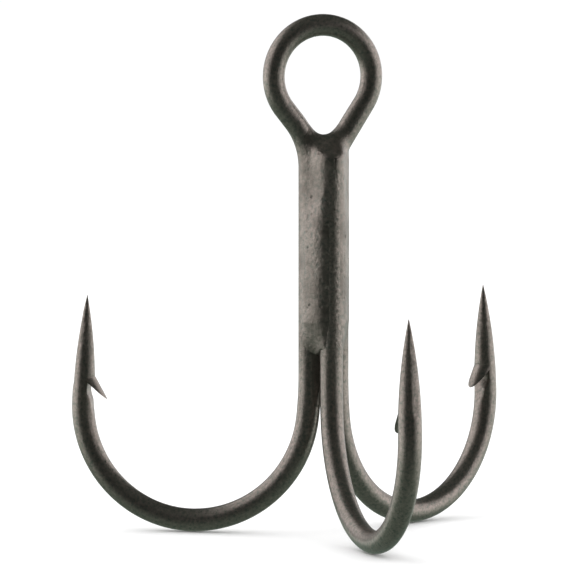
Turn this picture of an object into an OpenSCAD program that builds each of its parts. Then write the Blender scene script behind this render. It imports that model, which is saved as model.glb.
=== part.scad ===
// Treble fishing hook: a double hook bent from one wire, whose middle forms the eye,
// and a single hook brazed into the valley between its two shanks.
// Millimetres. Origin at the centre of the eye, +Z up along the shank, the eye in the XZ plane,
// the single hook towards -Y.

/* [Wire] */
// Diameter of the wire in the shank and the bends
wire_d = 2.0; // [1.8:0.05:2.2]
// Diameter of the wire in the eye, drawn a little thinner as it is coiled
eye_wire_d = 1.9; // [1.7:0.05:2]

/* [Eye] */
// Radius of the eye, from its centre to the middle of the wire
eye_r = 4.45; // [4.2:0.05:4.8]
// Angle between each leg of the eye and the shank, in degrees
leg_angle = 35; // [33:1:38]
// Radius of the bend that turns each leg into the shank
neck_r = 3.2; // [2.4:0.1:4]
// Depth of the eye's rounded floor below its centre
eye_floor = 5.2; // [5:0.05:5.3]
// Radius of that rounded floor
floor_r = 1.05; // [0.9:0.05:1.1]

/* [Shank] */
// Distance from the axis of the three-wire bundle to the middle of each wire
bundle_r = 1.44; // [1.3:0.02:1.5]
// Depth below the eye's centre at which the single hook's wire starts
single_top = 7.1; // [7:0.1:9]
// Depth below the eye's centre at which the wires start to fan out
shank_end = 26; // [25:0.1:29]

/* [Bend] */
// Radius of the slow curve that leads each wire away from the shank
fan_r = 32.8; // [25:0.1:40]
// Angle turned by that slow curve, in degrees
fan_angle = 6.4; // [4:0.2:8]
// Radius of the bend on the shank side
bend_r = 10.4; // [9.5:0.1:11]
// Radius of the bend on the point side
tip_bend_r = 9.8; // [9:0.1:10.5]
// Lean of the point towards the shank, in degrees
point_lean = 2.4; // [0:0.2:4]

/* [Point] */
// Length over which the wire tapers to the point
point_len = 9.4; // [9:0.1:11]
// Fullness of the taper: 1 is a straight cone, and higher is rounder
point_fullness = 1.8; // [1.2:0.05:2]
// Diameter left at the very tip
tip_d = 0.06; // [0.04:0.01:0.1]

/* [Barb] */
// Distance from the tip to the root of the barb's cut
barb_root = 7.65; // [7:0.05:8]
// How far the cut's root stays from the middle of the wire
barb_core = 0.38; // [0.3:0.02:0.5]
// Angle of the cut to the wire, in degrees
cut_angle = 16; // [14:1:18]
// Angle through which the cut sliver is lifted, in degrees
barb_lift = 36; // [30:1:42]

/* [Braze] */
// Depth below the eye's centre at which the filler ends
braze_end = 23.6; // [20:0.1:25]
// How far the filler's flats lie inside the planes that touch two wires
braze_hollow = 0.08; // [0.04:0.01:0.2]
// How much shorter the filler is at its flats than in the middle of the bundle
braze_slope = 0.6; // [0.2:0.1:1]

/* [Hidden] */
$fn = 96;

steel = [0.25, 0.24, 0.23];
filler = [0.42, 0.39, 0.34];

wire_r = wire_d / 2;
eye_wire_r = eye_wire_d / 2;

// Neighbouring stretches of wire differ by a hair in radius, and the thinner one laps into the
// thicker one, so that no two round surfaces coincide where they meet
hair = 0.01;
lap = 0.1;
thin_r = wire_r - hair;
thick_r = wire_r + hair;

// Directions in which the hooks point, seen from above
left_hook = 150;
right_hook = 30;
front_hook = 270;

// The bundle's axis lies in front of the plane that holds the eye and the double hook's shanks
bundle_y = -bundle_r * sin(30);
shank_x = bundle_r * cos(30);

// Where each leg leaves the eye, and where its neck bend meets the straight shank
leg_start = eye_r * [cos(leg_angle), -sin(leg_angle)];
neck_x = shank_x + neck_r * (1 - cos(leg_angle));
leg_len = (leg_start[0] - neck_x) / sin(leg_angle);
neck_z = leg_start[1] - leg_len * cos(leg_angle) - neck_r * sin(leg_angle);

// Centres of the bend's arcs, as [distance from the bundle's axis, height]
fan_centre = [bundle_r + fan_r, -shank_end];
bend_centre = fan_centre - (fan_r - bend_r) * [cos(fan_angle), sin(fan_angle)];
tip_centre = bend_centre + [0, tip_bend_r - bend_r];
point_base = tip_centre + tip_bend_r * [cos(point_lean), sin(point_lean)];

// The filler's flats: distance from the bundle's axis, and half width
flat_d = bundle_r * cos(60) + wire_r - braze_hollow;
flat_w = bundle_r * sin(60);

// Half the thickness of the filler between the legs of the eye
web_half = eye_wire_r * 0.8;

// Radius of the point at a distance from its tip
function point_r(s) =
    thin_r - (thin_r - tip_d / 2) * pow(1 - min(s / point_len, 1), point_fullness);

// The angle that an arc of a given radius turns over the length of a lap
function lap_angle(radius) = lap / radius * 180 / PI;

// A stretch of wire bent to an arc in the XZ plane, from angle a0 up to a1 about its centre
module wire_arc(centre, radius, a0, a1, r) {
    translate([centre[0], 0, centre[1]])
        rotate([90, 0, 0])
            rotate(a0)
                rotate_extrude(angle = a1 - a0)
                    translate([radius, 0])
                        circle(r = r);
}

// Puts what is drawn in the XZ plane into a direction about the bundle's axis
module towards(direction) {
    translate([0, bundle_y, 0])
        rotate(direction)
            children();
}

// Puts what is drawn upright at the origin on the end of the bend, along the point
module on_point() {
    translate([point_base[0], 0, point_base[1]])
        rotate([0, -point_lean, 0])
            children();
}

// The tapered point, standing on the XY plane with its tip up
module point_taper() {
    steps = 14;
    side = [for (i = [0:steps]) let (s = point_len * i / steps) [point_r(s), point_len - s]];
    rotate_extrude()
        polygon(concat([[0, point_len]], side, [[thin_r, -lap], [0, -lap]]));
}

// The wire that the barb's cut lifts, as a wedge on the shank side of the point
module barb_wedge() {
    root_z = point_len - barb_root;
    reach = (wire_r + 0.2 - barb_core) / tan(cut_angle);
    translate([0, wire_d, 0])
        rotate([90, 0, 0])
            linear_extrude(2 * wire_d)
                polygon([[-barb_core, root_z],
                         [-wire_r - 0.2, root_z - reach],
                         [-wire_r - 0.2, root_z]]);
}

// That wedge bent away from the wire about the root of the cut
module barb_sliver() {
    root_z = point_len - barb_root;
    translate([-barb_core, 0, root_z])
        rotate([0, barb_lift, 0])
            translate([barb_core, 0, -root_z])
                intersection() {
                    translate([0, 0, root_z - point_len])
                        cylinder(h = point_len, r1 = thin_r, r2 = point_r(barb_root));
                    barb_wedge();
                }
}

// One hook below the straight shank, in the XZ plane, opening towards +X
module bend_and_point() {
    wire_arc(fan_centre, fan_r, 180, 180 + fan_angle, thick_r);
    wire_arc(bend_centre, bend_r, 180 + fan_angle - lap_angle(bend_r), 270 + lap_angle(bend_r), thin_r);
    difference() {
        union() {
            wire_arc(tip_centre, tip_bend_r, 270, 360 + point_lean, thick_r);
            on_point() point_taper();
        }
        on_point() barb_wedge();
    }
    on_point() barb_sliver();
}

// The straight stretch of shank of one wire
module shank_wire(direction, top) {
    towards(direction)
        translate([bundle_r, 0, -shank_end - lap])
            cylinder(h = top + shank_end + lap, r = thin_r);
}

// The eye's right leg and the bend below it; the left one is its mirror image
module eye_leg() {
    translate([leg_start[0], 0, leg_start[1]])
        rotate([0, 180 + leg_angle, 0])
            translate([0, 0, -lap])
                cylinder(h = leg_len + 2 * lap, r1 = eye_wire_r - hair, r2 = thin_r);
    wire_arc([shank_x + neck_r, neck_z], neck_r, 180 - leg_angle, 180, thick_r);
}

module both_legs() {
    eye_leg();
    mirror([1, 0, 0]) eye_leg();
}

// The three shank wires as plain rods, to shape the filler with
module shank_rods() {
    for (direction = [left_hook, right_hook, front_hook])
        shank_wire(direction, 0);
}

// A prism from the bundle's axis out to the flat that faces a direction,
// with both ends sloped so that it is longest at the axis
module valley_prism(direction, top, bottom) {
    towards(direction)
        rotate([90, 0, 0])
            intersection() {
                translate([0, 0, -flat_w])
                    linear_extrude(2 * flat_w)
                        polygon([[0, -bottom], [flat_d, -bottom + braze_slope],
                                 [flat_d, -top - braze_slope], [0, -top]]);
                rotate([-90, 0, 0])
                    translate([0, 0, -bottom])
                        linear_extrude(bottom - top)
                            polygon([[0, 0], [flat_d + 1, -(flat_d + 1) * tan(60)],
                                     [flat_d + 1, (flat_d + 1) * tan(60)]]);
            }
}

module double_hook() {
    color(steel) {
        wire_arc([0, 0], eye_r, -leg_angle, 180 + leg_angle, eye_wire_r + hair);
        both_legs();
        for (direction = [left_hook, right_hook]) {
            shank_wire(direction, neck_z + lap);
            towards(direction) bend_and_point();
        }
    }
}

module single_hook() {
    bevel = thin_r * 0.3;
    color(steel) {
        towards(front_hook) {
            translate([bundle_r, 0, -single_top - bevel])
                cylinder(h = bevel, r1 = thin_r, r2 = thin_r - bevel);
            bend_and_point();
        }
        shank_wire(front_hook, -single_top - bevel);
    }
}

// The filler that closes the bottom of the eye and runs down the back between the two shanks
module eye_braze() {
    web_top = -eye_floor + floor_r - floor_r * sin(leg_angle);
    color(filler)
        difference() {
            union() {
                translate([0, web_half, 0])
                    rotate([90, 0, 0])
                        linear_extrude(2 * web_half)
                            polygon([[-shank_x * 0.9, neck_z - 1], [-shank_x * 0.9, neck_z],
                                     [-shank_x - 0.7, web_top], [shank_x + 0.7, web_top],
                                     [shank_x * 0.9, neck_z], [shank_x * 0.9, neck_z - 1]]);
                valley_prism(90, 6.8, braze_end);
            }
            translate([0, 2, -eye_floor + floor_r])
                rotate([90, 0, 0])
                    cylinder(h = 4, r = floor_r);
            both_legs();
            shank_rods();
        }
}

// One of the two fillets that hold the single hook in its valley
module valley_fillet(direction) {
    color(filler)
        difference() {
            valley_prism(direction, single_top, braze_end);
            shank_rods();
        }
}

module left_braze_fillet() {
    valley_fillet(210);
}

module right_braze_fillet() {
    valley_fillet(330);
}

double_hook();
single_hook();
eye_braze();
left_braze_fillet();
right_braze_fillet();
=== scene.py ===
"""Treble hook: two hooks and an eye bent from one wire, and a third hook brazed between their shanks.

Lengths are in millimetres until a mesh is made, and named angles are in degrees. The frame is the CAD
model's: the origin is the centre of the eye, +Z runs up the shank, and the single hook points
towards -Y.
"""

import math

import bmesh
import bpy
import numpy as np
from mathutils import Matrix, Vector, noise
from mathutils.kdtree import KDTree


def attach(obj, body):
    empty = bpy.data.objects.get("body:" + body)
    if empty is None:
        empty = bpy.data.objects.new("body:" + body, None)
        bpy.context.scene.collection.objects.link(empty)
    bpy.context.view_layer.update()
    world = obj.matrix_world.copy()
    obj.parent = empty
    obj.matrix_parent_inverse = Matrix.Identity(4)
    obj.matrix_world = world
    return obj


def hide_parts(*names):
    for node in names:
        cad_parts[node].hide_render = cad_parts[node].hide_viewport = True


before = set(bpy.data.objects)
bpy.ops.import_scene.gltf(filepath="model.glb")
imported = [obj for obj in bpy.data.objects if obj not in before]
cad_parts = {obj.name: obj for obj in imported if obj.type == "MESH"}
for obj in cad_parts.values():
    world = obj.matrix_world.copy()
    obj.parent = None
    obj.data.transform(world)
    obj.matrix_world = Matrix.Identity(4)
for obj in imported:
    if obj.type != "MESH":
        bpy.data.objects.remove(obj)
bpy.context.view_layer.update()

MM = 0.001
UP = np.array([0.0, 0.0, 1.0])

# Directions of the hooks, and of the valleys between their shanks, counted from +X
LEFT_HOOK, RIGHT_HOOK, FRONT_HOOK = 150, 30, 270
REAR_VALLEY, LEFT_VALLEY, RIGHT_VALLEY = 90, 210, 330

# Radius of the wire, and of the thinner stretch of it that makes the eye
WIRE_R, EYE_WIRE_R = 1.0, 0.945
# Shank: from the bundle's axis to the middle of each wire, and how far below the eye's centre the
# wires start to fan out and the single hook's wire is cut off
BUNDLE_R, SHANK_END, SINGLE_TOP = 1.44, 26.0, 7.1
BUNDLE_Y = -BUNDLE_R * math.sin(math.radians(30))
SHANK_X = BUNDLE_R * math.cos(math.radians(30))

# Eye: each leg's angle to the shank and the radius of its neck, which differ from side to side
EYE_R, EYE_OFF_CENTRE = 4.45, 0.09
LEFT_LEG, LEFT_NECK_R = 38.7, 6.6
RIGHT_LEG, RIGHT_NECK_R = 32.9, 1.8

# Bend and point
FAN_R, FAN_ANGLE = 32.8, 6.4
BEND_R, TIP_BEND_R = 10.4, 9.8
POINT_LEAN, POINT_LEN, POINT_FULLNESS = 2.4, 9.4, 2.05
TIP_R = 0.03

# Outer side of the point, honed flat: from where to where below the tip, how deep, how far it is
# turned from the hook's plane, and how far it stays clear of the wire where nothing is honed
HONED_FROM, HONED_TO, HONED_DEPTH = 2.2, 7.6, 0.07
HONED_TURN, HONED_CLEAR = 14, 0.06

# Barb: how far below the tip the cut ends and how far the cut is turned round the wire, for each hook
BARB_ROOT = {LEFT_HOOK: 7.55, RIGHT_HOOK: 7.6, FRONT_HOOK: 8.0}
BARB_ROLL = {LEFT_HOOK: 0, RIGHT_HOOK: 0, FRONT_HOOK: 8}
# The groove that the cut leaves: how near it comes to the middle of the wire, and how it runs out by
# a slope, a step and a steeper rise. The step's and the rise's places count down from the cut's end
GROOVE_CORE, GROOVE_SLOPE = 0.46, 0.03
GROOVE_STEP, STEP_FROM, STEP_TO = 0.26, 0.85, 1.8
GROOVE_RISE, RISE_FROM = 0.1, 1.4
# How much an edge between the wire, its flat and its groove is softened
EDGE_SOFT = 0.025
# The smallest cosine that a flat is worked out with, and a depth at which a groove cuts nothing
GRAZING, NO_CUT = 0.05, 9
# The sliver that the cut lifts: thickness at its root, taper, lift, and the length over which it bends
SLIVER_THICK, SLIVER_ANGLE, BARB_LIFT, SLIVER_BEND = 0.66, 17.0, 31.5, 0.55
# How much thinner than the wire it is, so that no two surfaces coincide
HAIR = 0.005

# Braze: how far the filler stands from the bundle's axis in the middle of a valley: above where it
# starts to thin, at its rim, and in the web between the wires behind the rim
VALLEY_FULL, VALLEY_END, VALLEY_WEB = 1.72, 1.33, 0.9
# Heights at which it starts to thin, where it ends in a blunt rim, and where the web ends
THIN_Z, RIM_Z, WEB_Z = -21.2, -24.2, -28.4
# The rim: its rise beside a wire, the way over which it rises, and the rounding of its edge
RIM_BOW, RIM_SPAN, RIM_ROUND = 0.55, 1.3, 0.3
# Two valleys are filled proud of the wires, the left one up on to the front wire: by how much, where
# the crest lies across the valley, and the half width, as shares of the wires' half distance
PROUD = {LEFT_VALLEY: (0.27, 0.15, 1.2), RIGHT_VALLEY: (0.12, 0.0, 1.0)}
# The height at which that starts, over what height it grows, and between which distances from the axis
PROUD_TOP, PROUD_GROWTH = -9.0, 5
PROUD_INNER, PROUD_OUTER = 0.4, 1.2
# Rounding between the legs of the eye, between them and the cap, and between bare wires
EYE_REACH, MOUND_REACH, BARE_REACH = 2.88, 2.1, 0.45
# The cap of filler over the cut end of the single hook: its height at the front, its slope towards
# the back, the lip where it meets the wire, and the rounding of its edge
CAP_RISE, CAP_SLOPE, LIP, CAP_ROUND = 0.42, 0.25, 0.035, 0.34
# How far the filler dips under the front of the single hook's wire, so that the wire shows
FRONT_DIP = 0.045
# Where the front fillets meet the eye's filler, how far filler laps into a wire, and how far its
# surface is sunk, so that it runs out under the wire's
SEAM, LAP, SINK = -6.95, 0.15, 0.012
# Where the surfaces of the filler and the wire come this close, the film of filler ends, this steeply
FILM_END, FILM_SLOPE = SINK * 2 / 3, 12
# Lumps on the filler as (height, number per mm), the film over which they fade out beside a wire,
# and the depth, number per mm and rarity of its pits
LUMPS = ((0.016, 0.9), (0.008, 2.3), (0.005, 5))
LUMPS_FADE = 0.06
PIT_DEPTH, PIT_RATE, PIT_RARITY = 0.08, 1.7, 0.42
# A shift that keeps the pattern of pits apart from that of the lumps
PIT_SHIFT = Vector((9, 4, 2))

# Fineness of the wires: points round a wire, and steps along the tip, the point, the barb's cut, the
# two parts of the bend, the shank, the neck, the leg and the ring of the eye
RING_SIDES = 56
TIP_STEP, POINT_STEP, CUT_STEP = 0.03, 0.1, 0.05
TIP_BEND_STEP, BEND_STEP, SHANK_STEP = 0.15, 0.2, 0.25
NECK_STEP, LEG_STEP, EYE_STEP = 0.12, 0.2, 0.18
# How far the steps are fine from the tip and above the cut's end, and half the wall at that end
FINE_TIP, FINE_CUT, HALF_WALL = 0.4, 1.4, 0.004
# Number of steps over which the wire gets thinner towards the eye, and the step along the straight
# shank where the filler's distance from it is worked out
EYE_TAPER, PATH_STEP = 30, 0.1
# Fineness of the sliver: rings along it, and points along its round and its flat side
SLIVER_RINGS, SLIVER_ROUND, SLIVER_FLAT = 44, 25, 13
# Fineness of the filler, and the corners of the grid that holds it
CELL = 0.08
GRID_LOW = np.array([-3.2, -3.5, WEB_Z - 1.3])
GRID_HIGH = np.array([3.2, 1.6, -3.4])


# ---------------------------------------------------------------- geometry helpers

def polar(radius, degrees):
    """A point in a plane from its radius and its angle."""
    a = math.radians(degrees)
    return np.array([radius * math.cos(a), radius * math.sin(a)])


def ease(value, low, high):
    """0 below low and 1 above high, or the other way round, with a smooth turn between."""
    t = np.clip((value - low) / (high - low), 0, 1)
    return t * t * (3 - 2 * t)


def compass(degrees):
    """The level unit vector at an angle from +X."""
    return np.append(polar(1, degrees), 0)


def arc(centre, radius, start, end, step):
    """Points along an arc, without its last one."""
    count = max(2, math.ceil(abs(math.radians(end - start)) * radius / step))
    return [np.array(centre) + polar(radius, a) for a in np.linspace(start, end, count, endpoint=False)]


def line(start, end, step):
    """Points along a straight stretch, without its last one."""
    start, end = np.array(start, float), np.array(end, float)
    count = max(1, math.ceil(np.linalg.norm(end - start) / step))
    return [start + (end - start) * t for t in np.linspace(0, 1, count, endpoint=False)]


def headings(places):
    """The unit vectors along a line of places."""
    heading = np.gradient(places, axis=0)
    return heading / np.linalg.norm(heading, axis=1)[:, None]


def run_along(places):
    """How far each of a line of places is from the first one."""
    return np.append(0, np.cumsum(np.linalg.norm(np.diff(places, axis=0), axis=1)))


def mesh_object(name, points, faces):
    """A mesh in metres from points in millimetres."""
    mesh = bpy.data.meshes.new(name)
    mesh.from_pydata([tuple(p) for p in np.asarray(points) * MM], [], faces)
    made = bpy.data.objects.new(name, mesh)
    bpy.context.scene.collection.objects.link(made)
    return made


def finish_skin(piece, crisp=38):
    """Faces turned outwards and smooth, but crisp at edges sharper than an angle."""
    bm = bmesh.new()
    bm.from_mesh(piece.data)
    bmesh.ops.recalc_face_normals(bm, faces=bm.faces)
    for face in bm.faces:
        face.smooth = True
    for edge in bm.edges:
        edge.smooth = edge.calc_face_angle(0) < math.radians(crisp)
    bm.to_mesh(piece.data)
    bm.free()


def unite(base, others):
    """Joins closed meshes into one skin, and removes the ones that were added."""
    for other in others:
        added = base.modifiers.new("unite", "BOOLEAN")
        added.operation, added.solver, added.object = "UNION", "EXACT", other
    graph = bpy.context.evaluated_depsgraph_get()
    joined = bpy.data.meshes.new_from_object(base.evaluated_get(graph))
    base.modifiers.clear()
    base.data = joined
    for other in others:
        bpy.data.objects.remove(other)


# ---------------------------------------------------------------- the wires

FAN_CENTRE = np.array([BUNDLE_R + FAN_R, -SHANK_END])
BEND_CENTRE = FAN_CENTRE + polar(FAN_R - BEND_R, 180 + FAN_ANGLE)
TIP_CENTRE = BEND_CENTRE + [0, TIP_BEND_R - BEND_R]
POINT_BASE = TIP_CENTRE + polar(TIP_BEND_R, POINT_LEAN)
POINT_TIP = POINT_BASE + polar(POINT_LEN, 90 + POINT_LEAN)


def hook_points(top, root):
    """A hook from its tip round the bend and up its shank: distance from the bundle's axis, height."""
    down = -polar(1, 90 + POINT_LEAN)
    stops = [(0, TIP_STEP), (FINE_TIP, POINT_STEP)]
    stops += [(near, CUT_STEP) for near in (root - FINE_CUT, root - HALF_WALL, root + HALF_WALL)]
    ends = [near for near, _ in stops[1:]] + [POINT_LEN]
    points = []
    for (near, step), far in zip(stops, ends):
        points += line(POINT_TIP + down * near, POINT_TIP + down * far, step)
    points += arc(TIP_CENTRE, TIP_BEND_R, 360 + POINT_LEAN, 270, TIP_BEND_STEP)
    points += arc(BEND_CENTRE, BEND_R, 270, 180 + FAN_ANGLE, BEND_STEP)
    points += arc(FAN_CENTRE, FAN_R, 180 + FAN_ANGLE, 180, SHANK_STEP)
    points += line([BUNDLE_R, -SHANK_END], [BUNDLE_R, top], SHANK_STEP)
    return np.array(points)


def hook_stations(direction, top, final_direction):
    """Places along a hook from its tip up, the vector square to the hook's plane at each, and how far
    each is from the tip. Along the shank that vector turns to where the final direction has it."""
    out = compass(direction)
    points = hook_points(top, BARB_ROOT[direction])
    places = np.array([0, BUNDLE_Y, 0]) + points[:, :1] * out + points[:, 1:] * UP
    run = run_along(places)
    up_shank = np.clip((points[:, 1] + SHANK_END) / (top + SHANK_END), 0, 1)
    up_shank[run < run[-1] / 2] = 0
    turned = direction + (final_direction - direction) * up_shank
    sides = np.array([np.cross(UP, compass(d)) for d in turned])
    return places, sides, run


def leg_points(leg_angle, neck_r, ring_x):
    """The right side of the eye in its plane, from the shank up the neck and the leg to the ring."""
    a = math.radians(leg_angle)
    start = EYE_R * np.array([math.cos(a), -math.sin(a)]) + [ring_x, 0]
    neck_x = SHANK_X + neck_r * (1 - math.cos(a))
    length = (start[0] - neck_x) / math.sin(a)
    bend_end = start - length * np.array([math.sin(a), math.cos(a)])
    neck_centre = np.array([SHANK_X + neck_r, bend_end[1] - neck_r * math.sin(a)])
    neck = arc(neck_centre, neck_r, 180, 180 - leg_angle, NECK_STEP)
    return np.array(neck + line(bend_end, start, LEG_STEP))


LEFT_SIDE = leg_points(LEFT_LEG, LEFT_NECK_R, EYE_OFF_CENTRE) * [-1, 1]
RIGHT_SIDE = leg_points(RIGHT_LEG, RIGHT_NECK_R, -EYE_OFF_CENTRE)


def tapered(run, full):
    """Radius of the wire at a distance from its tip, where it would be full without the point."""
    share = np.clip(run / POINT_LEN, 0, 1)
    return full - (full - TIP_R) * (1 - share) ** POINT_FULLNESS


def wire_radius(run, angle, full, root, roll):
    """Radius of the wire at a distance from its tip and an angle from the side of the gap, with the
    honed flat on the outer side and the groove that the barb's cut leaves."""
    r = tapered(run, full)
    honed = ease(run, HONED_FROM - 1, HONED_FROM) * ease(run, HONED_TO + 1, HONED_TO)
    flat = np.maximum(-np.cos(angle + math.radians(HONED_TURN)), GRAZING)
    outer = r * (1 + HONED_CLEAR - (HONED_CLEAR + HONED_DEPTH) * honed) / flat
    below = run - root
    depth = GROOVE_CORE + GROOVE_SLOPE * below + GROOVE_STEP * ease(below, STEP_FROM, STEP_TO)
    depth = depth + GROOVE_RISE * np.maximum(below - RISE_FROM, 0)
    groove = np.where(below < 0, NO_CUT, depth) / np.maximum(np.cos(angle + roll), GRAZING)
    soft = np.logaddexp(np.logaddexp(-r / EDGE_SOFT, -groove / EDGE_SOFT), -outer / EDGE_SOFT)
    return -EDGE_SOFT * soft


def swept(name, places, sides, run, full, root, roll=0.0):
    """A wire as rings round a line of places, closed at both ends."""
    heading = headings(places)
    gaps = np.cross(sides, heading)
    gaps /= np.linalg.norm(gaps, axis=1)[:, None]
    angle = np.linspace(0, 2 * math.pi, RING_SIDES, endpoint=False)
    r = wire_radius(run[:, None], angle[None, :], full[:, None], root[:, None], roll)[:, :, None]
    rings = np.cos(angle)[:, None] * gaps[:, None]
    rings = rings + np.sin(angle)[:, None] * np.cross(heading, gaps)[:, None]
    return mesh_object(name, *skin(places[:, None] + r * rings))


def skin(rings):
    """Quads between rings of equal size, closed by a fan at each end."""
    count, sides = rings.shape[:2]
    points = [*rings.reshape(-1, 3), rings[0].mean(0), rings[-1].mean(0)]
    faces = []
    for j in range(sides):
        k = (j + 1) % sides
        for i in range(0, count * sides - sides, sides):
            faces.append((i + j, i + k, i + sides + k, i + sides + j))
        faces.append((count * sides, k, j))
        faces.append((count * sides + 1, (count - 1) * sides + j, (count - 1) * sides + k))
    return points, faces


def straighten(piece, places, sides):
    """Notes for the material where each point of a wire lies if it is laid out straight, in mm: two
    distances across it, and one along it."""
    heading = headings(places)
    length = run_along(places)
    tree = KDTree(len(places))
    for i, place in enumerate(places):
        tree.insert(place, i)
    tree.balance()
    laid_out = []
    for vertex in piece.data.vertices:
        i = tree.find(vertex.co / MM)[1]
        offset = np.array(vertex.co) / MM - places[i]
        across = offset @ np.cross(sides[i], heading[i])
        laid_out += [across, offset @ sides[i], length[i] + offset @ heading[i]]
    piece.data.attributes.new("laid_out", "FLOAT_VECTOR", "POINT").data.foreach_set("vector", laid_out)


def sliver(direction):
    """The slice of wire that the barb's cut has lifted, thinning to an edge."""
    out = compass(direction)
    lean = polar(1, 90 + POINT_LEAN)
    to_tip = out * lean[0] + UP * lean[1]
    inwards = UP * lean[0] - out * lean[1]
    roll = math.radians(BARB_ROLL[direction])
    to_gap = inwards * math.cos(roll) + np.cross(to_tip, inwards) * math.sin(roll)
    across = np.cross(to_tip, to_gap)
    tip = np.array([0, BUNDLE_Y, 0]) + out * POINT_TIP[0] + UP * POINT_TIP[1]
    root = tip - to_tip * BARB_ROOT[direction]
    slope = math.tan(math.radians(SLIVER_ANGLE))
    r = tapered(BARB_ROOT[direction], WIRE_R) - HAIR
    core = r - SLIVER_THICK
    last_ring = 0.995  # just short of the edge, where a ring would be flat
    rings = []
    for t in np.linspace(0, last_ring, SLIVER_RINGS):
        along = (SLIVER_THICK / slope + SLIVER_BEND) * (1 - (1 - t) ** 2) - SLIVER_BEND
        chord = core + max(along, 0) * slope
        half = math.acos(chord / r)
        round_side = np.linspace(-math.degrees(half), math.degrees(half), SLIVER_ROUND)
        flat_side = np.linspace(1, -1, SLIVER_FLAT)[1:-1]
        outline = [polar(r, a) for a in round_side]
        outline += [np.array([chord, y * r * math.sin(half)]) for y in flat_side]
        bent = ease(along, -SLIVER_BEND, 0)
        turn = math.radians(BARB_LIFT) * bent
        hinge = core + (GROOVE_CORE - core) * bent
        ring = []
        for x, y in outline:
            outwards = hinge + (x - core) * math.cos(turn) + along * math.sin(turn)
            downwards = along * math.cos(turn) - (x - core) * math.sin(turn)
            ring.append(root + to_gap * outwards - to_tip * downwards + across * y)
        rings.append(ring)
    return mesh_object("sliver", *skin(np.array(rings)))


def double_hook():
    """The one wire that makes the left hook, the eye and the right hook."""
    left_places, left_sides, left_run = hook_stations(LEFT_HOOK, LEFT_SIDE[0, 1], 180)
    right_places, right_sides, right_run = hook_stations(RIGHT_HOOK, RIGHT_SIDE[0, 1], 0)
    ring = np.array(arc([-EYE_OFF_CENTRE, 0], EYE_R, 180 + LEFT_LEG, -RIGHT_LEG, EYE_STEP))
    flat = np.concatenate([LEFT_SIDE, ring, RIGHT_SIDE[::-1]])
    eye_places = np.insert(flat, 1, 0, axis=1)
    eye_sides = np.tile([0, -1.0, 0], (len(flat), 1))
    from_end = np.minimum(np.arange(len(flat)), np.arange(len(flat))[::-1])
    eye_full = WIRE_R + (EYE_WIRE_R - WIRE_R) * np.clip(from_end / EYE_TAPER, 0, 1)
    no_tip = np.full(len(flat), 10 * POINT_LEN)
    places = np.concatenate([left_places, eye_places, right_places[::-1]])
    sides = np.concatenate([left_sides, eye_sides, -right_sides[::-1]])
    run = np.concatenate([left_run, no_tip, right_run[::-1]])
    full = np.concatenate([np.full(len(left_run), WIRE_R), eye_full, np.full(len(right_run), WIRE_R)])
    is_left = np.arange(len(run)) < len(run) / 2
    root = np.where(is_left, BARB_ROOT[LEFT_HOOK], BARB_ROOT[RIGHT_HOOK])
    wire = swept("double_hook_wire", places, sides, run, full, root)
    unite(wire, [sliver(LEFT_HOOK), sliver(RIGHT_HOOK)])
    straighten(wire, places, sides)
    return wire


def single_hook():
    """The third hook, whose wire is cut off below the eye."""
    places, sides, run = hook_stations(FRONT_HOOK, -SINGLE_TOP, FRONT_HOOK)
    full = np.full(len(run), WIRE_R)
    root = np.full(len(run), BARB_ROOT[FRONT_HOOK])
    roll = math.radians(BARB_ROLL[FRONT_HOOK])
    wire = swept("single_hook_wire", places, sides, run, full, root, roll)
    unite(wire, [sliver(FRONT_HOOK)])
    straighten(wire, places, sides)
    return wire


# ---------------------------------------------------------------- the braze

def smooth_min(a, b, reach):
    """The smaller of two distances, rounded off where they are alike."""
    alike = np.clip(reach - np.abs(a - b), 0, None) / reach
    return np.minimum(a, b) - reach * alike**2 / 4


def fanned(z):
    """How far each wire has moved away from the bundle's axis at a height below the straight shank."""
    below = np.maximum(-SHANK_END - z, 0)
    return FAN_R - np.sqrt(FAN_R**2 - below**2)


def side_distance(path, hook, x, y, z):
    """Distance from the surface of the eye's wire and the shank below it, on one side."""
    below_web = WEB_Z - 2
    shank = np.array(line([path[0, 0], below_web], path[0], PATH_STEP))
    path = np.concatenate([shank, path])
    out = compass(hook)
    gap = np.hypot((x - fanned(z) * out[0])[..., None] - path[:, 0], z[..., None] - path[:, 1])
    climbed = np.clip((gap.argmin(-1) - len(shank)) / EYE_TAPER, 0, 1)
    return np.hypot(gap.min(-1), y - fanned(z) * out[1]) - (WIRE_R + (EYE_WIRE_R - WIRE_R) * climbed)


def capped(over_side, over_end):
    """Distance from a rod, given the distances past its side and past its end."""
    outside = np.hypot(np.maximum(over_side, 0), np.maximum(over_end, 0))
    return outside + np.minimum(np.maximum(over_side, over_end), 0)


def valley_reach(radius):
    """The rounding between two shank wires that fills their valley out to a distance from the axis."""
    return 4 * (np.hypot(radius - BUNDLE_R / 2, SHANK_X) - WIRE_R)


def proud_part(x, y, z):
    """How far the filler stands out beyond the flat face of a valley."""
    height = ease(z, PROUD_TOP, PROUD_TOP - PROUD_GROWTH)
    height = height * np.clip((z - RIM_Z) / (THIN_Z - RIM_Z), 0, 1)
    total = 0
    for valley, (proud, crest, half_width) in PROUD.items():
        out, along = compass(valley), compass(valley + 90)
        depth = x * out[0] + (y - BUNDLE_Y) * out[1]
        across = (x * along[0] + (y - BUNDLE_Y) * along[1]) / SHANK_X
        bulge = np.clip(1 - ((across - crest) / half_width) ** 2, 0, 1)
        total = total + proud * height * bulge * ease(depth, PROUD_INNER, PROUD_OUTER)
    return total


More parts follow.
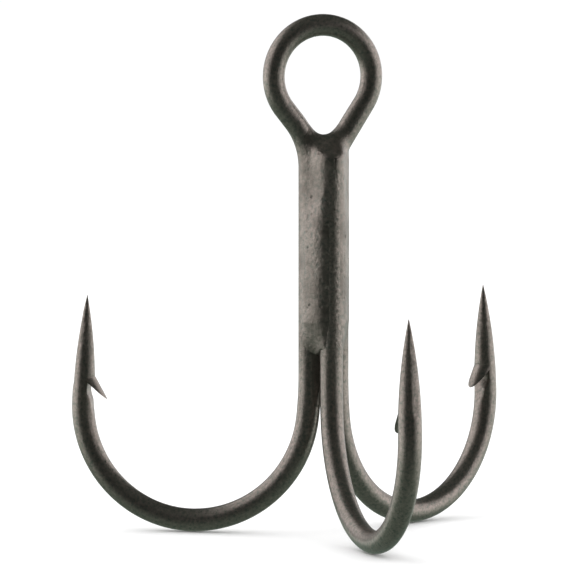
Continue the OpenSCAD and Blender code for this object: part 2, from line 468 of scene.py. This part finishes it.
def front_distances(x, y, z):
    """Distance from the single hook's wire and from the cap over its end, and how far the filler dips
    under the bare front of that wire."""
    lip_heights, dip_heights = (-0.9, -0.1), (-0.7, -1.5)  # counted from the cut end of the wire
    lip_facing, dip_facing = (0.3, 0.85), (0.5, 0.95)  # 1 is straight in front of the wire
    front_y = y - BUNDLE_Y + BUNDLE_R + fanned(z)
    from_axis = np.hypot(x, front_y)
    over_end = z + SINGLE_TOP
    towards_front = -front_y / np.maximum(from_axis, 0.1)
    lip = LIP * ease(over_end, *lip_heights) * ease(towards_front, *lip_facing)
    dip = FRONT_DIP * ease(over_end, *dip_heights) * ease(towards_front, *dip_facing)
    cap_top = CAP_RISE - SINGLE_TOP + CAP_SLOPE * (front_y + WIRE_R)
    over_cap = (z - cap_top) * math.cos(math.atan(CAP_SLOPE))
    mound = capped(from_axis - WIRE_R - lip + CAP_ROUND, over_cap + CAP_ROUND) - CAP_ROUND
    return capped(from_axis - WIRE_R, over_end), mound, dip


def fillets_distance(left, right, mound, x, y, z):
    """Distance from the filler between the wires, which thins and ends in a rounded rim."""
    bundle_top, eye_bottom = -SINGLE_TOP - 0.3, -SINGLE_TOP + 0.9
    climb = ease(z, bundle_top, eye_bottom)
    thinned = np.clip((THIN_Z - z) / (THIN_Z - RIM_Z), 0, 1)
    full = valley_reach(VALLEY_FULL - (VALLEY_FULL - VALLEY_END) * thinned)
    pair = smooth_min(left, right, full + (EYE_REACH - full) * climb)
    fillets = smooth_min(pair, mound, full + (MOUND_REACH - full) * climb) - proud_part(x, y, z)
    nearest = np.sort(np.stack(np.broadcast_arrays(left, right, mound)), axis=0)
    rim = RIM_Z + RIM_BOW * np.clip((nearest[1] - nearest[0]) / RIM_SPAN, 0, 1) ** 2 - z
    return -smooth_min(-fillets, -rim, RIM_ROUND)


def web_distance(left, right, mound, z):
    """Distance from the thin web that runs on between the wires below the rim."""
    fade = ease(z, WEB_Z - 1, WEB_Z)
    thin = BARE_REACH + (valley_reach(VALLEY_WEB) - BARE_REACH) * fade
    return smooth_min(smooth_min(left, right, thin), mound, thin)


def braze_fields(x, y, z):
    """Distance from the filler's open surface, and from the nearest wire. Both are negative inside."""
    left = side_distance(LEFT_SIDE, LEFT_HOOK, x, y, z)
    right = side_distance(RIGHT_SIDE, RIGHT_HOOK, x, y, z)
    front, mound, dip = front_distances(x, y, z)
    fillets = fillets_distance(left, right, mound, x, y, z)
    web = web_distance(left, right, mound, z)
    return np.minimum(fillets, web) + SINK + dip, np.minimum(np.minimum(left, right), front)


def without_pinches(field):
    """The sampled field without the samples that would make its surface touch itself along an edge."""
    just_outside = 1e-4
    for a, b in 3 * ((0, 1), (0, 2), (1, 2)):
        rows = np.moveaxis(field, (a, b), (0, 1))
        corners = [rows[:-1, :-1], rows[1:, :-1], rows[1:, 1:], rows[:-1, 1:]]
        for turn in range(2):
            one, two, three, four = corners[turn:] + corners[:turn]
            one[(one < 0) & (three < 0) & (two >= 0) & (four >= 0)] = just_outside
    return field


def surface_net(field, low):
    """A closed mesh of quads round the part of a sampled field that is below zero."""
    shape = np.array(field.shape) - 1
    total, hits = np.zeros((*shape, 3)), np.zeros(shape)
    unit = np.eye(3, dtype=int)
    crossings = []
    for axis in range(3):
        along, b, c = unit[axis], unit[(axis + 1) % 3], unit[(axis + 2) % 3]
        rows = np.moveaxis(field, axis, 0)
        at = np.argwhere(np.moveaxis((rows[:-1] < 0) != (rows[1:] < 0), 0, axis))
        near, far = field[tuple(at.T)], field[tuple((at + along).T)]
        spot = at + along * (near / (near - far))[:, None]
        around = [at - b - c, at - c, at, at - b]
        for cells in around:
            np.add.at(total, tuple(cells.T), spot)
            np.add.at(hits, tuple(cells.T), 1)
        crossings.append((around, near < 0))
    used = hits > 0
    number = np.full(shape, -1)
    number[used] = np.arange(used.sum())
    quads = []
    for around, inside in crossings:
        corners = np.stack([number[tuple(cells.T)] for cells in around], axis=1)
        corners[~inside] = corners[~inside][:, ::-1]
        quads += corners.tolist()
    return low + CELL * total[used] / hits[used][:, None], quads


def largest_body(points, quads):
    """The mesh without any crumbs that its largest body does not touch."""
    quads = np.array(quads)
    label = np.arange(len(points))
    is_final = False
    while not is_final:
        merged = label.copy()
        np.minimum.at(merged, quads.ravel(), np.repeat(label[quads].min(axis=1), 4))
        merged = merged[merged]
        is_final = (merged == label).all()
        label = merged
    keep = label == np.bincount(label).argmax()
    number = np.cumsum(keep) - 1
    return points[keep], number[quads[keep[quads[:, 0]]]].tolist()


def sector(x, y, valley):
    """Below zero in the third of the bundle that faces a direction, and above it elsewhere."""
    half_width, rise_per_degree = 60, 0.02
    angle = np.degrees(np.arctan2(y - BUNDLE_Y, x))
    return (np.abs((angle - valley + 180) % 360 - 180) - half_width) * rise_per_degree


def settled(points, valley, has_top):
    """The points of the filler's open surface moved onto it exactly, and square to the seam there."""
    step, least_slope, longest_move = 0.02, 0.3, 0.04
    close, seam_margin, free_margin = 0.7 * CELL, 0.1, 0.03
    third = sector(points[:, 0], points[:, 1], valley)
    value = braze_fields(*points.T)[0]
    near_seam = (np.abs(points[:, 2] - SEAM) < close) & ((third > 0) == has_top)
    at_seam = near_seam & (np.abs(value) < close) & (np.abs(third) > seam_margin)
    points[at_seam, 2] = SEAM
    is_free = (np.abs(value) < CELL / 2) & ~near_seam & (np.abs(third) > free_margin)
    for _ in range(2):
        value = braze_fields(*points.T)[0]
        slope = [braze_fields(*(points + step * e).T)[0] - value for e in np.eye(3)]
        slope = np.stack(slope, axis=1) / step
        slope[at_seam, 2] = 0
        size = np.linalg.norm(slope, axis=1)
        moves = (is_free | at_seam) & (size > least_slope)
        size = np.maximum(size, least_slope)
        move = np.clip(value / size**2, -longest_move, longest_move)[:, None] * slope
        points = points - np.where(moves[:, None], move, 0)
    over_wire = braze_fields(*points.T)[1]
    lumps = np.array([lumpy(Vector(p)) for p in points]) * ease(over_wire, 0.0, LUMPS_FADE)
    return points + np.where(moves, lumps / size, 0)[:, None] * slope


def lumpy(at):
    """How far the filler's surface stands out at a place: slow waves, fine grain and a few pits."""
    lumps = sum(height * noise.noise(at * rate) for height, rate in LUMPS)
    pit = noise.noise(at * PIT_RATE + PIT_SHIFT)
    return lumps - PIT_DEPTH * max(0, pit - PIT_RARITY)


def braze_piece(name, valley, has_top):
    """One body of filler: the part that fills a valley below the seam, or with all above the seam."""
    axes = [np.arange(a, b, CELL) for a, b in zip(GRID_LOW, GRID_HIGH)]
    x, y, z = np.meshgrid(*axes, indexing="ij", sparse=True)
    filler, wires = braze_fields(x, y, z)
    film = (filler - wires - FILM_END) * FILM_SLOPE
    third = sector(x, y, valley)
    belongs = np.minimum(third, SEAM - z) if has_top else np.maximum(third, z - SEAM)
    field = without_pinches(np.maximum.reduce([filler, -wires - LAP, film, belongs]))
    points, quads = largest_body(*surface_net(field, GRID_LOW))
    return mesh_object(name, settled(points, valley, has_top), quads)


def braze():
    """The three bodies of filler: one for each valley, with the eye's floor on the rear one."""
    return [
        braze_piece("eye_braze_filler", REAR_VALLEY, True),
        braze_piece("left_braze_filler", LEFT_VALLEY, False),
        braze_piece("right_braze_filler", RIGHT_VALLEY, False),
    ]


# ---------------------------------------------------------------- materials

class Nodes:
    """Short calls for the nodes of one material or world."""

    def __init__(self, owner):
        owner.use_nodes = True
        self.tree = owner.node_tree

    def __getitem__(self, name):
        return self.tree.nodes[name]

    def add(self, kind, **settings):
        """A new node; a setting is the value or the source of an input, or a property of the node.
        Properties are set first, because some of them change which inputs are active."""
        node = self.tree.nodes.new(kind)
        for name in sorted(settings, key=lambda name: not hasattr(node, name)):
            if name in [i.name.lower().replace(" ", "_") for i in node.inputs]:
                self.feed(node, name.replace("_", " "), settings[name])
            else:
                setattr(node, name, settings[name])
        return node

    def plug(self, socket, value):
        """Links an input to its source or sets its value. A colour's alpha may be left out."""
        if isinstance(value, bpy.types.NodeSocket):
            self.tree.links.new(value, socket)
        elif socket.type == "RGBA" and len(value) == 3:
            socket.default_value = (*value, 1)
        else:
            socket.default_value = value

    def feed(self, node, name, value):
        """Plugs the first active input of a name, written in any case."""
        self.plug([i for i in node.inputs if i.name.lower() == name.lower() and i.enabled][0], value)

    def noise(self, vector, scale, detail=3.0, roughness=0.55):
        """A cloudy pattern of values round 0.5, at a number of cells per unit of the vector."""
        made = self.add("ShaderNodeTexNoise", vector=vector, scale=scale, detail=detail,
                        roughness=roughness)
        return made.outputs[0]

    def spread(self, value, low, high, to_low=0.0, to_high=1.0, curve="LINEAR"):
        """A value's stretch from low to high turned into another stretch, and held at its ends."""
        made = self.add("ShaderNodeMapRange", value=value, interpolation_type=curve,
                        from_min=low, from_max=high, to_min=to_low, to_max=to_high)
        return made.outputs[0]

    def math(self, operation, a, b=0.0):
        """The result of a sum on two values."""
        made = self.add("ShaderNodeMath", operation=operation)
        self.plug(made.inputs[0], a)
        self.plug(made.inputs[1], b)
        return made.outputs[0]

    def vector_math(self, operation, a, b):
        """A node with the result of a sum on two vectors."""
        made = self.add("ShaderNodeVectorMath", operation=operation)
        self.plug(made.inputs[0], a)
        self.plug(made.inputs[1], b)
        return made

    def blend(self, share, first, second):
        """A colour between two colours."""
        made = self.add("ShaderNodeMix", data_type="RGBA", factor=share, a=first, b=second)
        return [o for o in made.outputs if o.enabled][0]

    def bump(self, height, distance, strength, onto=None):
        """A normal that a height tilts, on top of another normal if there is one."""
        made = self.add("ShaderNodeBump", height=height, distance=distance * MM, strength=strength)
        if onto is not None:
            self.feed(made, "Normal", onto)
        return made.outputs[0]


BLACK_NICKEL = (0.290, 0.249, 0.225)
COOL_PATCH = (0.178, 0.178, 0.160)
WARM_PATCH = (0.385, 0.322, 0.295)
# Dull tone of the filler's stains and of the flux specks, also used as painted shade in the filler's
# pits
DULL_FILLER_AND_PIT_SHADE = (0.165, 0.142, 0.125)


def mottle(n, place, scale):
    """Black nickel whose tone drifts between a cool and a warm one in small patches."""
    patches = n.noise(place, scale, detail=4.0, roughness=0.7)
    cool = n.blend(n.spread(patches, 0.5, 0.36), BLACK_NICKEL, COOL_PATCH)
    return n.blend(n.spread(patches, 0.52, 0.66), cool, WARM_PATCH)


def brazed_zone(n, place):
    """1 along the brazed part of the shank and 0 beyond it, with soft ends."""
    neck_end, neck_start = -6.5, -4.5
    height = n.add("ShaderNodeSeparateXYZ", vector=place).outputs["Z"]
    above_rim = n.spread(height, (RIM_Z - 1) * MM, (RIM_Z + 1) * MM)
    return n.math("MULTIPLY", above_rim, n.spread(height, neck_start * MM, neck_end * MM))


def wire_metal():
    """Drawn wire under satin black nickel: fine drawing lines, soft mottling, and near the braze the
    rougher skin that the flux leaves."""
    material = bpy.data.materials.new("black_nickel_wire")
    n = Nodes(material)
    shader = n["Principled BSDF"]
    place = n.add("ShaderNodeTexCoord").outputs["Object"]
    laid_out = n.add("ShaderNodeAttribute", attribute_name="laid_out").outputs["Vector"]
    drawn_out = n.vector_math("MULTIPLY", laid_out, (1, 1, 0.04)).outputs[0]
    lines = n.noise(drawn_out, 7.0, roughness=0.6)
    grain = n.noise(place, 2600.0, detail=4.0, roughness=0.6)
    waves = n.noise(place, 900.0, detail=2.0)
    fine = n.noise(place, 5500.0, detail=2.0)
    brazed = brazed_zone(n, place)
    specks = n.math("MULTIPLY", brazed, n.spread(grain, 0.52, 0.64, 0.0, 0.6))
    n.feed(shader, "Base Color", n.blend(specks, mottle(n, place, 3800.0), DULL_FILLER_AND_PIT_SHADE))
    n.feed(shader, "Metallic", 1.0)
    rough = n.math("ADD", n.spread(lines, 0.35, 0.65, 0.28, 0.37), n.spread(grain, 0.35, 0.7, 0.0, 0.06))
    n.feed(shader, "Roughness", n.math("ADD", rough, n.math("MULTIPLY", brazed, 0.06)))
    fluxed_grain = n.math("MULTIPLY", grain, n.spread(brazed, 0.0, 1.0, 0.5, 2.8))
    normal = n.bump(waves, distance=0.028, strength=0.6)
    normal = n.bump(lines, distance=0.003, strength=0.6, onto=normal)
    normal = n.bump(fine, distance=0.019, strength=0.8, onto=normal)
    n.feed(shader, "Normal", n.bump(fluxed_grain, distance=0.040, strength=0.8, onto=normal))
    return material


def filler_metal():
    """Brazing filler under the same plate: lumpy, pitted and mottled, with painted shade darkening its
    pits.
    """
    material = bpy.data.materials.new("plated_filler")
    n = Nodes(material)
    shader = n["Principled BSDF"]
    place = n.add("ShaderNodeTexCoord").outputs["Object"]
    grain = n.noise(place, 2400.0, detail=5.0, roughness=0.62)
    lumps = n.noise(place, 1000.0)
    holes = n.add("ShaderNodeTexVoronoi", vector=place, scale=1100.0).outputs["Distance"]
    pits = n.math("MULTIPLY", n.spread(holes, 0.22, 0.05), n.spread(lumps, 0.5, 0.6))
    stains = n.noise(place, 330.0, roughness=0.6)
    tone = n.blend(n.spread(stains, 0.42, 0.62, 0.0, 0.75), mottle(n, place, 2400.0), DULL_FILLER_AND_PIT_SHADE)
    # The pits are darkened towards the dull tone: painted shade in the pits
    n.feed(shader, "Base Color", n.blend(n.math("MULTIPLY", pits, 0.7), tone, DULL_FILLER_AND_PIT_SHADE))
    n.feed(shader, "Metallic", 1.0)
    rough = n.math("ADD", n.spread(grain, 0.3, 0.7, 0.33, 0.45), n.math("MULTIPLY", pits, 0.2))
    n.feed(shader, "Roughness", rough)
    height = n.math("SUBTRACT", n.math("ADD", grain, lumps), pits)
    n.feed(shader, "Normal", n.bump(height, distance=0.075, strength=0.8))
    return material


# ---------------------------------------------------------------- the studio

# Camera: where it stands, how long its lens is, and the point that it looks at, as a height and as
# how far the shank stands to the right of the picture's middle
CAMERA_AZIMUTH, CAMERA_ELEVATION, CAMERA_DISTANCE = -18, 4.53, 390.5
SENSOR, LENS = 36, 284.4
MIDDLE_HEIGHT, SHANK_RIGHT_OF_MIDDLE = -18.06, 3.57
# Height of the table's top, a hair under the bends, and half its width
TABLE_Z, TABLE_HALF = -39.93, 5000
# Softboxes: their distance, and the height that they face
SOFTBOX_DISTANCE, LIT_HEIGHT = 450, -18
# The surroundings as the eye and the table see them
WHITE = (1.15, 1.15, 1.15)
# Tint of the dim room that the metal mirrors
COOL = (0.86, 1.13, 0.95)


def from_hook(azimuth, elevation):
    """The unit vector away from the hook, at an azimuth counted from the camera's."""
    a, e = math.radians(CAMERA_AZIMUTH - 90 + azimuth), math.radians(elevation)
    return Vector((math.cos(a) * math.cos(e), math.sin(a) * math.cos(e), math.sin(e)))


def placed(name, data, place, away):
    """A camera or light at a place in millimetres, looking against a direction."""
    made = bpy.data.objects.new(name, data)
    bpy.context.scene.collection.objects.link(made)
    made.location = place * MM
    made.rotation_mode = "QUATERNION"
    made.rotation_quaternion = away.to_track_quat("Z", "Y")
    return made


def camera():
    """A long lens that stands a little to the left of the single hook, just above the level."""
    right = Vector(compass(CAMERA_AZIMUTH))
    back = from_hook(0, CAMERA_ELEVATION)
    data = bpy.data.cameras.new("camera")
    data.sensor_width, data.lens = SENSOR, LENS
    data.clip_start, data.clip_end = 0.01, 10
    aim = Vector((0, BUNDLE_Y, MIDDLE_HEIGHT)) - right * SHANK_RIGHT_OF_MIDDLE
    bpy.context.scene.camera = placed("camera", data, aim + back * CAMERA_DISTANCE, back)


def softbox(name, azimuth, elevation, wide, tall, radiance):
    """A large soft light that faces the hook, as wide and tall as its angles seen from there."""
    data = bpy.data.lights.new(name, "AREA")
    data.shape = "RECTANGLE"
    data.size = 2 * SOFTBOX_DISTANCE * MM * math.tan(math.radians(wide / 2))
    data.size_y = 2 * SOFTBOX_DISTANCE * MM * math.tan(math.radians(tall / 2))
    data.energy = radiance * math.pi * data.size * data.size_y
    out = from_hook(azimuth, elevation)
    made = placed(name, data, Vector((0, BUNDLE_Y, LIT_HEIGHT)) + out * SOFTBOX_DISTANCE, out)
    made.visible_camera = False


def grey(value, tint=COOL):
    """A colour of a brightness and a tint."""
    return tuple(value * t for t in tint)


def ramp(n, value, stops):
    """A colour that follows a value from -1 to 1 through (value, colour) stops."""
    made = n.add("ShaderNodeValToRGB")
    n.plug(made.inputs[0], n.spread(value, -1.0, 1.0))
    elements = made.color_ramp.elements
    while len(elements) < len(stops):
        elements.new(0.5)
    for element, (at, colour) in zip(elements, stops):
        element.position = (at + 1) / 2
        element.color = (*colour, 1)
    return made.outputs[0]


def studio_world():
    """White to the eye and to the table. What the metal mirrors of it is a dim room: darkest at the
    front, with a grey ceiling and a table that is lighter towards its sides and back."""
    world = bpy.data.worlds.new("studio")
    bpy.context.scene.world = world
    n = Nodes(world)
    direction = n.add("ShaderNodeTexCoord").outputs["Generated"]
    facing = n.vector_math("DOT_PRODUCT", direction, compass(CAMERA_AZIMUTH - 90)).outputs["Value"]
    level = n.add("ShaderNodeSeparateXYZ", vector=direction).outputs["Z"]
    front = ramp(n, level, [(-1, grey(0.2)), (-0.5, grey(0.11)), (0.1, grey(0.022)), (1, grey(0.06))])
    around = ramp(n, level, [(-1, grey(0.2)), (-0.5, grey(0.28)), (-0.2, grey(0.4)),
                             (0.05, grey(0.22, tint=(1, 1, 1))), (0.55, grey(0.07)), (1, grey(0.06))])
    room = n.blend(n.spread(facing, 0.8, 0.1, curve="SMOOTHSTEP"), front, around)
    is_mirrored = n.add("ShaderNodeLightPath").outputs["Is Glossy Ray"]
    n.feed(n["Background"], "Color", n.blend(is_mirrored, WHITE, room))


def floor():
    """A wide pale matt table under the bends."""
    corners = [(-1, -1), (1, -1), (1, 1), (-1, 1)]
    points = [(TABLE_HALF * x, TABLE_HALF * y, TABLE_Z) for x, y in corners]
    made = mesh_object("floor", points, [(0, 1, 2, 3)])
    made.visible_glossy = False
    material = bpy.data.materials.new("pale_table")
    n = Nodes(material)
    n.feed(n["Principled BSDF"], "Base Color", (0.93, 0.93, 0.93))
    n.feed(n["Principled BSDF"], "Roughness", 0.9)
    n.feed(n["Principled BSDF"], "Specular IOR Level", 0.1)
    made.data.materials.append(material)


# ---------------------------------------------------------------- the scene

camera()
steel, plated_filler = wire_metal(), filler_metal()
for piece, node in zip((double_hook(), single_hook()), ("double_hook", "single_hook")):
    piece.data.materials.append(steel)
    finish_skin(piece)
    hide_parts(node)
    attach(piece, "root")
for piece, node in zip(braze(), ("eye_braze", "left_braze_fillet", "right_braze_fillet")):
    piece.data.materials.append(plated_filler)
    finish_skin(piece)
    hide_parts(node)
    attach(piece, "root")

floor()
studio_world()
softbox("left_softbox", azimuth=-109, elevation=23, wide=72, tall=68, radiance=0.67)
softbox("left_softbox_rim", azimuth=-99, elevation=12, wide=92, tall=72, radiance=0.50)
softbox("right_softbox", azimuth=115, elevation=12, wide=88, tall=44, radiance=0.70)
softbox("right_softbox_rim", azimuth=105, elevation=2, wide=108, tall=62, radiance=0.43)
bpy.context.scene.view_settings.view_transform = "Standard"
